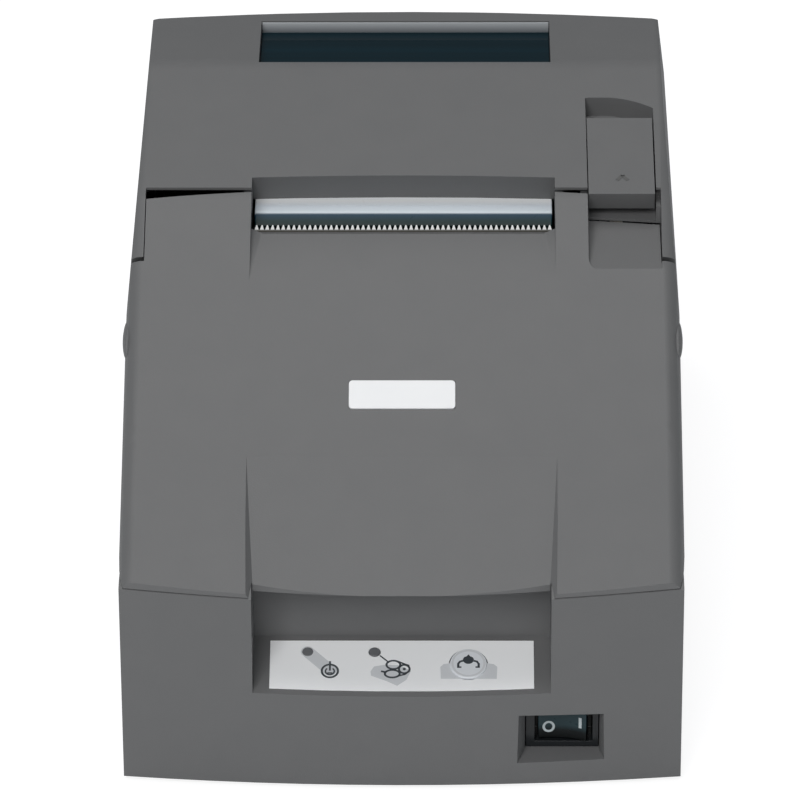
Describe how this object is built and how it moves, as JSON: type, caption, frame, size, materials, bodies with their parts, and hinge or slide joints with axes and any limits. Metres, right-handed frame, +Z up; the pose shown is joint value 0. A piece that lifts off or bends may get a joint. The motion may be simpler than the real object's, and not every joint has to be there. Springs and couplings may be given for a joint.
{
  "type": "dot matrix receipt printer",
  "caption": "Desktop dot matrix receipt printer with a bowed lower case, hinged front cover, hinged roll cover with smoked window, opening lever and sloping control panel.",
  "frame": {"origin": "centre of the underside, on the surface that the feet stand on", "axes": "+Z up, -Y the front with the control panel, +X to the right seen from the front"},
  "size_m": [0.1612, 0.2481, 0.1381],
  "materials": {
    "case": "fine textured grey moulding",
    "black_plastic": "moulded black plastic",
    "switch_black": "glossy black switch moulding",
    "label": "satin printed overlay",
    "badge": "plain white plate",
    "button": "satin grey button",
    "lamp": "smoked lens",
    "window": "smoked clear plate",
    "guide": "pale polished guide",
    "teeth": "bright cutting edge",
    "steel": "zinc plated sheet",
    "shaft": "ground steel",
    "motor": "plated motor can",
    "gear": "natural acetal",
    "board": "solder resist on fibre board",
    "connector": "tin plated shell",
    "rubber": "moulded rubber",
    "ribbon": "inked woven ribbon",
    "brass": "turned brass"
  },
  "bodies": {
    "chassis": {"lower_case": "case", "rubber_feet": "rubber", "panel_label": "label", "power_lamp": "lamp", "paper_lamp": "lamp", "panel_board": "board", "power_switch": "switch_black", "main_board": "board", "interface_board": "board", "board_screws": "steel", "dsub_socket": "connector", "jackscrews": "brass", "drawer_jack": "black_plastic", "power_jack": "black_plastic", "paper_bucket": "black_plastic", "near_end_pin": "steel", "base_deck": "steel", "deck_screws": "steel", "left_frame": "steel", "right_frame": "steel", "latch_stud": "shaft", "idler_stud": "shaft", "platen": "black_plastic", "carriage_shaft": "shaft", "guide_rail": "shaft", "drive_belt": "rubber", "pulley_post": "shaft", "carriage_motor": "motor", "feed_motor": "motor", "ribbon_cassette": "black_plastic", "ink_ribbon": "ribbon", "ribbon_bearing": "brass", "cassette_rests": "steel", "front_hinge_pins": "shaft", "hinge_rod": "shaft"},
    "front_cover": {"front_cover": "case", "badge_plate": "badge", "tear_bar": "teeth"},
    "roll_cover": {"roll_cover": "case", "window_pane": "window", "exit_guide": "guide", "lever_pin_rod": "shaft"},
    "open_lever": {"open_lever": "case"},
    "feed_button": {"feed_button": "button"},
    "power_rocker": {"power_rocker": "switch_black"},
    "near_end_lever": {"near_end_lever": "gear"},
    "carriage": {"carriage": "black_plastic", "print_head": "motor"},
    "drive_pulley": {"drive_pulley": "gear"},
    "idle_pulley": {"idle_pulley": "gear"},
    "feed_roller": {"feed_roller": "rubber", "feed_gear": "gear"},
    "idler_gear": {"idler_gear": "gear"},
    "motor_pinion": {"motor_pinion": "gear"},
    "pinch_rollers": {"pinch_rollers": "rubber"},
    "ribbon_knob": {"ribbon_knob": "button"}
  },
  "joints": [
    {"name": "front_cover_hinge", "type": "hinge", "parent": "chassis", "child": "front_cover", "pos_m": [0, -0.111, 0.046], "axis": [1, 0, 0], "range_deg": [0, 75]},
    {"name": "roll_cover_hinge", "type": "hinge", "parent": "chassis", "child": "roll_cover", "pos_m": [0, 0.1195, 0.098], "axis": [-1, 0, 0], "range_deg": [0, 80]},
    {"name": "open_lever_hinge", "type": "hinge", "parent": "roll_cover", "child": "open_lever", "pos_m": [0.064, 0.026, 0.1283], "axis": [-1, 0, 0], "range_deg": [0, 18], "stiffness_Nm_per_rad": 0.05, "springref_deg": -5.73},
    {"name": "feed_button_press", "type": "slide", "parent": "chassis", "child": "feed_button", "axis": [0, 0.3156, -0.9489], "range_m": [0, 0.001], "stiffness_N_per_m": 1500, "springref_m": -0.0005},
    {"name": "power_rocker_tilt", "type": "hinge", "parent": "chassis", "child": "power_rocker", "pos_m": [0.046, -0.113, 0.01715], "axis": [0, 0, 1], "range_deg": [0, 14]},
    {"name": "near_end_lever_swing", "type": "hinge", "parent": "chassis", "child": "near_end_lever", "pos_m": [-0.044, 0.042, 0.022], "axis": [1, 0, 0], "range_deg": [0, 6], "stiffness_Nm_per_rad": 0.01, "springref_deg": -11.46},
    {"name": "carriage_slide", "type": "slide", "parent": "chassis", "child": "carriage", "axis": [1, 0, 0], "range_m": [-0.031, 0.031]},
    {"name": "drive_pulley_spin", "type": "hinge", "parent": "chassis", "child": "drive_pulley", "pos_m": [-0.05, -0.03, 0.05], "axis": [0, 0, 1], "range_deg": [-360, 360]},
    {"name": "idle_pulley_spin", "type": "hinge", "parent": "chassis", "child": "idle_pulley", "pos_m": [0.05, -0.03, 0.05], "axis": [0, 0, 1], "range_deg": [-360, 360]},
    {"name": "feed_roller_spin", "type": "hinge", "parent": "chassis", "child": "feed_roller", "pos_m": [0, -0.0006, 0.106], "axis": [1, 0, 0], "continuous": true},
    {"name": "idler_gear_spin", "type": "hinge", "parent": "chassis", "child": "idler_gear", "pos_m": [0.0624, 0.00282, 0.07258], "axis": [1, 0, 0], "continuous": true},
    {"name": "motor_pinion_spin", "type": "hinge", "parent": "chassis", "child": "motor_pinion", "pos_m": [0.0624, -0.006, 0.046], "axis": [1, 0, 0], "continuous": true},
    {"name": "pinch_rollers_spin", "type": "hinge", "parent": "chassis", "child": "pinch_rollers", "pos_m": [0, -0.0114, 0.106], "axis": [1, 0, 0], "continuous": true},
    {"name": "ribbon_knob_spin", "type": "hinge", "parent": "chassis", "child": "ribbon_knob", "pos_m": [0.036, -0.056, 0.08], "axis": [0, 0, 1], "continuous": true}
  ],
  "couplings": [
    {"joint": "drive_pulley_spin", "follows": "carriage_slide", "rad_per_m": -200},
    {"joint": "idle_pulley_spin", "follows": "carriage_slide", "rad_per_m": -200},
    {"joint": "idler_gear_spin", "follows": "feed_roller_spin", "ratio": -0.44828},
    {"joint": "motor_pinion_spin", "follows": "feed_roller_spin", "ratio": 2.1667},
    {"joint": "pinch_rollers_spin", "follows": "feed_roller_spin", "ratio": -1.5}
  ]
}
